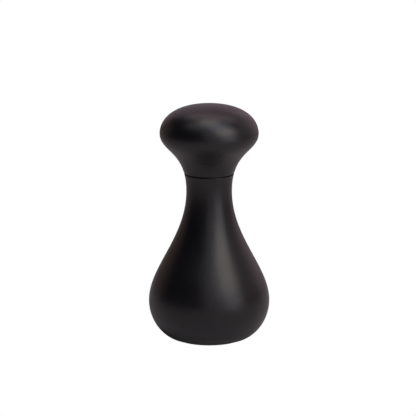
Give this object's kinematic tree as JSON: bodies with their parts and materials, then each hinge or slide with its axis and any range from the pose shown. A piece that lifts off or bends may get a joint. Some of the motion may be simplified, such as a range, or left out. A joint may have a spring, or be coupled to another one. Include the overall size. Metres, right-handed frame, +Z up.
{
  "type": "pepper mill",
  "caption": "Free-standing turned-wood pepper mill with a pull-off mushroom head that turns a square shaft, and a ceramic grinder adjusted by a knob in the foot.",
  "frame": {"origin": "centre of the foot, on the surface that the mill stands on", "axes": "+Z up along the shaft, the mill's axis of revolution; +X and +Y level"},
  "size_m": [0.0716, 0.0716, 0.14],
  "materials": {
    "lacquered_wood": "satin",
    "black_plastic": "matte",
    "grey_plastic": "satin",
    "burr_ceramic": "satin",
    "shaft_aluminium": "satin",
    "spring_steel": "satin",
    "nut_brass": "satin",
    "ring_rubber": "matte"
  },
  "bodies": {
    "body": {"body_shell": "lacquered_wood", "neck_bush": "black_plastic", "grinder_housing": "grey_plastic", "housing_screws": "spring_steel", "outer_burr": "burr_ceramic", "bottom_bridge": "grey_plastic", "shaft_guide": "grey_plastic", "click_spring": "spring_steel"},
    "rotor": {"drive_shaft": "shaft_aluminium", "drive_bush": "black_plastic", "thrust_washer": "spring_steel", "shaft_circlips": "spring_steel", "spring_seat": "spring_steel", "burr_spring": "spring_steel"},
    "burr": {"burr_carrier": "black_plastic", "inner_burr": "burr_ceramic", "feed_auger": "black_plastic"},
    "adjuster": {"adjuster_knob": "black_plastic", "adjuster_spindle": "spring_steel", "spindle_clip": "spring_steel"},
    "nut": {"adjuster_nut": "nut_brass", "thrust_ball": "spring_steel"},
    "head": {"head_knob": "lacquered_wood", "head_spigot": "black_plastic", "head_screws": "spring_steel", "grip_ring": "spring_steel", "head_o_ring": "ring_rubber"}
  },
  "joints": [
    {"name": "grind_turn", "type": "hinge", "parent": "body", "child": "rotor", "pos_m": [0, 0, 0.03], "axis": [0, 0, 1], "continuous": true},
    {"name": "head_lift", "type": "slide", "parent": "rotor", "child": "head", "axis": [0, 0, 1], "range_m": [0, 0.045]},
    {"name": "adjuster_turn", "type": "hinge", "parent": "body", "child": "adjuster", "pos_m": [0, 0, 0.005], "axis": [0, 0, 1], "range_deg": [0, 300]},
    {"name": "nut_lift", "type": "slide", "parent": "body", "child": "nut", "axis": [0, 0, 1], "range_m": [0, 0.001]},
    {"name": "burr_lift", "type": "slide", "parent": "rotor", "child": "burr", "axis": [0, 0, 1], "range_m": [0, 0.001], "deforming": ["burr_spring"]}
  ],
  "couplings": [
    {"joint": "adjuster_turn", "follows": "nut_lift", "rad_per_m": 5236},
    {"joint": "burr_lift", "follows": "nut_lift", "ratio": 1}
  ]
}
